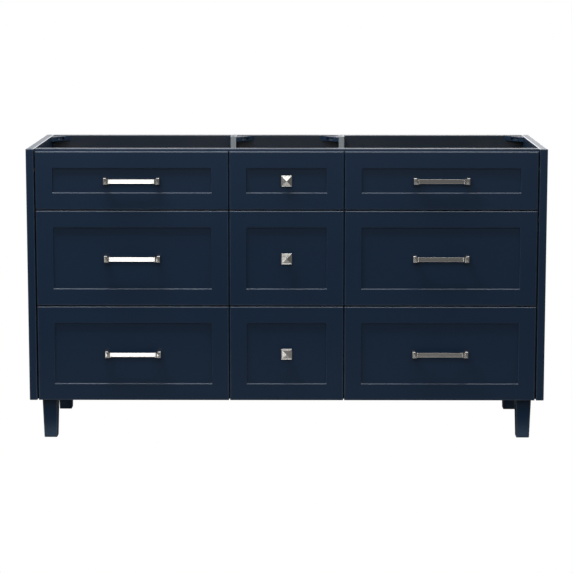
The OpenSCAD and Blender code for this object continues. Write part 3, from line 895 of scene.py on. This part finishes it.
def make_knob(row, column):
    """A turned stem under a square head: a sloping rim, then a pyramid to a small point."""
    node = f"{row}_{column}_knob"
    low, high = box_of(node)
    front = box_of(f"{row}_{column}_front")
    panel_y = front[0][1] + RECESS
    x, z = (low[0] + high[0]) / 2, (front[0][2] + front[1][2]) / 2
    skin = add_turned(Skin(), KNOB_STEM, (x, panel_y, z), -Y, 40)
    reach, rim, top, peak = KNOB_HALF, 0.0038, 0.0210, 0.0262
    slope = (peak - top) / (reach - 0.0016 - rim)
    rows = [(0.0030, 0.0140, 0.0003, 0), (0.0006, 0.0140, 0.0003, 1), (0.0001, 0.0143, 0.0005, 1),
            (0.0, 0.0148, 0.0006, 1), (0.0, 0.0172, 0.0006, 0), (0.0001, 0.0179, 0.0006, 1),
            (0.0005, 0.0185, 0.0006, 1), (0.0010, 0.0189, 0.0006, FLAT),
            (rim - 0.0011, 0.0203, 0.0005, FLAT), (rim - 0.0006, 0.0207, 0.0004, 1),
            (rim, top, 0.0004, FLAT), (rim + 0.0008, top + 0.0008 * slope, 0.0004, FLAT),
            (reach - 0.0026, peak - 0.0010 * slope, 0.0003, FLAT), (reach - 0.0016, peak, 0.0002, FLAT),
            (reach - 0.0010, 0.02645, 0.0002, 1), (reach - 0.0005, 0.0266, 0.0001, 1)]
    points, faces, wear = carried(rectangle(reach, reach), rows, (x, panel_y, z), X, Z, -Y, 0.0002)
    skin.add(points, faces, wear)
    add_drawer_piece(row, column, "square_knob", skin.mesh(node, [NICKEL]), [node])
    make_handle_screws(row, column, node, [x], z, front[1][1] + WALL)


# ---- Slides ----

# Each member's two sides from the wall, its height, and the way it is open
OUTER, MIDDLE, INNER = (0, 0.0095, 0.045, 1), (0.005, 0.0102, 0.035, 1), (0.0076, 0.0127, 0.025, -1)
SLIDE_SCREW = (0.007, 0.0018, 0.0035, 0.013)    # head's width and height, shank's width, length
SLIDE_SCREW_ENDS = (0.035, 0.130)   # distance of the screws from the slide's front and back
SLIDE_SCREW_STAGGER = 0.032         # so that screws from both sides of a partition miss
BALL_ROW = (0.02, 0.16)             # where a ball row begins and ends, from the slide's end
CAGE = (0.0068, 0.0084, 0.0006)     # two sides of a ball cage from the wall, and half its height


def channel(x1, x2, height, open_way):
    """Outline of a steel channel between x1 and x2, open at x2 if open_way is 1, else at x1."""
    near, far = (x1, x2) if open_way > 0 else (x2, x1)
    h = height / 2
    inside = near + open_way * STEEL
    corners = [(far, -h), (far, STEEL - h), (inside, STEEL - h), (inside, h - STEEL),
               (far, h - STEEL), (far, h), (near, h), (near, -h)]
    return np.array(corners) if open_way < 0 else np.array(corners[::-1])


def counter_clockwise(corners):
    """An outline turned so that its area, half the sum of each side's cross product, is positive."""
    ahead = np.roll(corners, -1, axis=0)
    area = np.sum(corners[:, 0] * ahead[:, 1] - ahead[:, 0] * corners[:, 1])
    return corners if area > 0 else corners[::-1]


def slide_places(row, column):
    """Wall plane and way to the box of each slide of a drawer, with its height and ends."""
    low, high = box_of(f"{row}_{column}_slide_inner")
    z = (low[2] + high[2]) / 2
    box_low, box_high = box_of(f"{row}_{column}_box")
    return [(box_low[0] - SLIDE_W, 1), (box_high[0] + SLIDE_W, -1)], z, low[1], high[1]


def add_channel(skin, wall, way, z, y1, y2, x1, x2, height, open_way):
    """A steel channel along Y, with its x1 and x2 measured from the wall that it is fixed to."""
    outline = channel(x1, x2, height, open_way) * [way, 1]
    add_prism(skin, counter_clockwise(outline), y1, y2, (wall, 0, z), X, Z, Y, 0.00025, 0.0005, hold=0.0002)


def add_balls(skin, wall, across, z, ys):
    """Bearing balls: spheres of eight sides and six rows."""
    tilt = np.linspace(-0.48 * math.pi, 0.48 * math.pi, 6)
    profile = np.column_stack([np.cos(tilt), np.sin(tilt)]) * BALL / 2
    for y in ys:
        add_turned(skin, profile, (wall + across, y, z), Y, 8)


def make_slides():
    """Outer members and their screws ride on the case, middle ones with their balls and cages
    on their own bodies, inner ones on the drawers."""
    outer, screws = Skin(), Skin()
    for row in ROWS:
        for column in COLUMNS:
            places, z, y1, y2 = slide_places(row, column)
            shift = SLIDE_SCREW_STAGGER if column == "centre" else 0
            first, last = BALL_ROW
            middle, inner, balls, cages = Skin(), Skin(), Skin(), Skin()
            for wall, way in places:
                for skin, member in ((outer, OUTER), (middle, MIDDLE), (inner, INNER)):
                    add_channel(skin, wall, way, z, y1, y2, *member)
                for y in (y1 + SLIDE_SCREW_ENDS[0], y2 - SLIDE_SCREW_ENDS[1]):
                    add_pan_screw(screws, (wall + way * STEEL, y + shift, z), way * X, *SLIDE_SCREW)
                for up in (-1, 1):
                    inside, outside = z + up * 0.0194, z + up * 0.0144
                    add_balls(balls, wall, way * 0.0076, inside, np.linspace(y2 - last, y2 - first, 11))
                    add_balls(balls, wall, way * 0.0090, outside, np.linspace(y1 + first, y1 + last, 11))
                    x1, x2 = sorted((wall + way * CAGE[0], wall + way * CAGE[1]))
                    add_block(cages, (x1, y2 - last - 0.01, inside - CAGE[2]),
                              (x2, y2 - first + 0.01, inside + CAGE[2]), 0.0002, 1)
            name = f"{row}_{column}"
            body = name + "_slide_middle"
            add_piece(name + "_middle_members", middle.mesh("slide_middle", [ZINC]), body,
                      [body])
            add_piece(name + "_bearing_balls", balls.mesh("balls", [NICKEL]), body)
            add_piece(name + "_ball_cages", cages.mesh("cages", [NYLON]), body)
            add_drawer_piece(row, column, "inner_members", inner.mesh("slide_inner", [ZINC]),
                             [name + "_slide_inner"])
    add_piece("case_slide_members", outer.mesh("slide_outer_members", [ZINC]), "cabinet",
              ["slide_outer_members"])
    add_piece("case_slide_screws", screws.mesh("slide_screws", [ZINC]), "cabinet",
              ["slide_screws"])


# ---- Stage ----

CAMERA_PLACE = (0.0351, -6.5699, 1.3947)
CAMERA_DOWN = 0.14717       # radians below the horizon
CAMERA_LEFT = 0.005605      # radians to the left of +Y
LENS = 136.22


def make_camera():
    """A long lens, well in front and a little above, looking slightly down."""
    data = bpy.data.cameras.new("camera")
    data.lens, data.sensor_width = LENS, 36.0
    camera = bpy.data.objects.new("camera", data)
    camera.location = CAMERA_PLACE
    camera.rotation_euler = (math.pi / 2 - CAMERA_DOWN, 0, CAMERA_LEFT)
    bpy.context.scene.collection.objects.link(camera)
    bpy.context.scene.camera = camera


def seen_or_lit(tree, seen, lit):
    """A shader that is one thing to the camera and another to the light."""
    mix = tree.nodes.new("ShaderNodeMixShader")
    path = tree.nodes.new("ShaderNodeLightPath")
    tree.links.new(path.outputs["Is Camera Ray"], mix.inputs[0])
    tree.links.new(lit.outputs[0], mix.inputs[1])
    tree.links.new(seen.outputs[0], mix.inputs[2])
    return mix


# Brightness of the studio from each side: right and left, back and front, above and below
STUDIO = {"right": 0.14, "left": 0.24, "back": 0.80, "front": 0.15, "above": 0.24, "below": 0.12}


def make_world():
    """The camera sees white. The light in direction d is, for each axis, the square of d's part
    along it times the brightness of the side that it points to, summed."""
    world = bpy.data.worlds.new("studio")
    bpy.context.scene.world = world
    world.use_nodes = True
    tree = world.node_tree
    tree.nodes.clear()
    where = tree.nodes.new("ShaderNodeTexCoord")
    split = tree.nodes.new("ShaderNodeSeparateXYZ")
    tree.links.new(where.outputs["Generated"], split.inputs[0])
    total = None
    for axis, (plus, minus) in enumerate((("right", "left"), ("back", "front"), ("above", "below"))):
        share = math_node(tree, "MULTIPLY", split.outputs[axis], split.outputs[axis])
        positive = math_node(tree, "GREATER_THAN", split.outputs[axis], 0.0)
        bright = math_node(tree, "MULTIPLY_ADD", positive, STUDIO[plus] - STUDIO[minus], STUDIO[minus])
        part = math_node(tree, "MULTIPLY", share, bright)
        total = part if total is None else math_node(tree, "ADD", total, part)
    lit, seen = tree.nodes.new("ShaderNodeBackground"), tree.nodes.new("ShaderNodeBackground")
    tree.links.new(total, lit.inputs["Strength"])
    seen.inputs["Strength"].default_value = 1.0
    for node in (lit, seen):
        node.inputs["Color"].default_value = (1, 1, 1, 1)
    output = tree.nodes.new("ShaderNodeOutputWorld")
    tree.links.new(seen_or_lit(tree, seen, lit).outputs[0], output.inputs["Surface"])


def math_node(tree, operation, *values):
    node = tree.nodes.new("ShaderNodeMath")
    node.operation = operation
    for socket, value in zip(node.inputs, values):
        if isinstance(value, bpy.types.NodeSocket):
            tree.links.new(value, socket)
        else:
            socket.default_value = value
    return node.outputs[0]


def make_floor():
    """A round pale floor under the cabinet."""
    sides, radius, behind = 96, 1.9, 0.35
    turn = np.arange(sides) * 2 * math.pi / sides
    ring = np.column_stack([radius * np.cos(turn), behind + radius * np.sin(turn), np.zeros(sides)])
    mesh = bpy.data.meshes.new("floor")
    mesh.from_pydata(ring.tolist(), [], [list(range(sides))])
    material = bpy.data.materials.new("pale floor")
    material.use_nodes = True
    tree = material.node_tree
    tree.nodes.clear()
    lit, seen = tree.nodes.new("ShaderNodeBsdfDiffuse"), tree.nodes.new("ShaderNodeEmission")
    lit.inputs["Color"].default_value = (0.22, 0.22, 0.22, 1)
    output = tree.nodes.new("ShaderNodeOutputMaterial")
    tree.links.new(seen_or_lit(tree, seen, lit).outputs[0], output.inputs["Surface"])
    mesh.materials.append(material)
    floor = bpy.data.objects.new("floor", mesh)
    bpy.context.scene.collection.objects.link(floor)


def add_softbox(name, place, aim, size, power, receivers=None):
    """A rectangular lamp that the camera doesn't see."""
    data = bpy.data.lights.new(name, "AREA")
    data.shape, data.size, data.size_y, data.energy = "RECTANGLE", *size, power
    lamp = bpy.data.objects.new(name, data)
    lamp.location = place
    lamp.rotation_euler = (Vector(aim) - Vector(place)).to_track_quat("-Z", "Y").to_euler()
    lamp.visible_camera = False
    bpy.context.scene.collection.objects.link(lamp)
    if receivers:
        lamp.light_linking.receiver_collection = receivers
    return lamp


def lamp_group(name, wanted):
    """A collection of the pieces that a lamp lights."""
    group = bpy.data.collections.new(name)
    for piece in bpy.context.scene.objects:
        if piece.type == "MESH" and wanted(piece.name):
            group.objects.link(piece)
    return group


def make_lights():
    """Long lamps overhead, brighter to the left, that the upper edges mirror, a broad one in
    front for the wood, one at each side, two behind, and small ones that only the metal mirrors."""
    handles = ("_bar_pull", "_square_knob")
    metal = lamp_group("handles", lambda name: name.endswith(handles))
    knobs = lamp_group("knobs", lambda name: name.endswith("_square_knob"))
    rest = lamp_group("all but the handles", lambda name: not name.endswith(handles))
    legs = lamp_group("legs", lambda name: name.startswith("tapered_"))
    add_softbox("overhead", (-0.2, -0.72, 3.1), (-0.2, -0.72, 0), (3.6, 0.9), 60, rest)
    add_softbox("overhead_left", (-1.0, -0.72, 3.1), (-1.0, -0.72, 0), (1.2, 0.9), 70, rest)
    add_softbox("front", (0, -5.4, 2.8), (0, -0.2, 0.3), (5.0, 2.2), 130, rest)
    for x, power in ((-1.6, 7), (1.6, 14)):
        add_softbox("behind", (x, 4.0, 1.4), (x / 4, 0, 0.86), (3.0, 1.4), power)
    for side in (-1, 1):
        add_softbox("side_of_the_case", (side * 4.2, 0.8, 1.6), (side * 0.76, 0, 0.45), (1.6, 2.2), 30, rest)
    add_softbox("under_the_case", (0, -2.4, 0.25), (0, 0.2, 0.05), (3.0, 0.3), 5, legs)
    add_softbox("handle_edges", (0, -0.70, 3.1), (0, -0.70, 0), (2.2, 0.6), 12, metal)
    add_softbox("high_front", (0, -2.45, 3.1), (0, -2.45, 0), (1.2, 0.36), 6, knobs)
    add_softbox("handle_light", (-0.72, -3.3, 0.1), (-0.45, -0.25, 0.45), (0.62, 1.5), 9, metal)
    add_softbox("side_light", (-2.4, -2.1, -0.3), (0, -0.25, 0.3), (0.9, 0.8), 4, metal)
    add_softbox("floor_far", (0, -0.92, 0.01), (0, -0.92, 1), (0.8, 0.3), 0.4, knobs)
    add_softbox("floor_near", (0, -0.32, 0.01), (0, -0.32, 1), (0.8, 0.07), 0.25, knobs)


make_panels()
make_side_gap_shade_strips()
make_partitions()
make_back_panel()
make_braces()
make_legs()
make_leg_bolts()
make_brace_screws()
for row in ROWS:
    for column in COLUMNS:
        make_front(row, column)
        make_row_gap_shade_strips(row, column)
        make_box(row, column)
        if column == "centre":
            make_knob(row, column)
        else:
            make_pull(row, column)
make_slides()

make_camera()
make_world()
make_floor()
make_lights()
bpy.context.scene.view_settings.view_transform = "Standard"
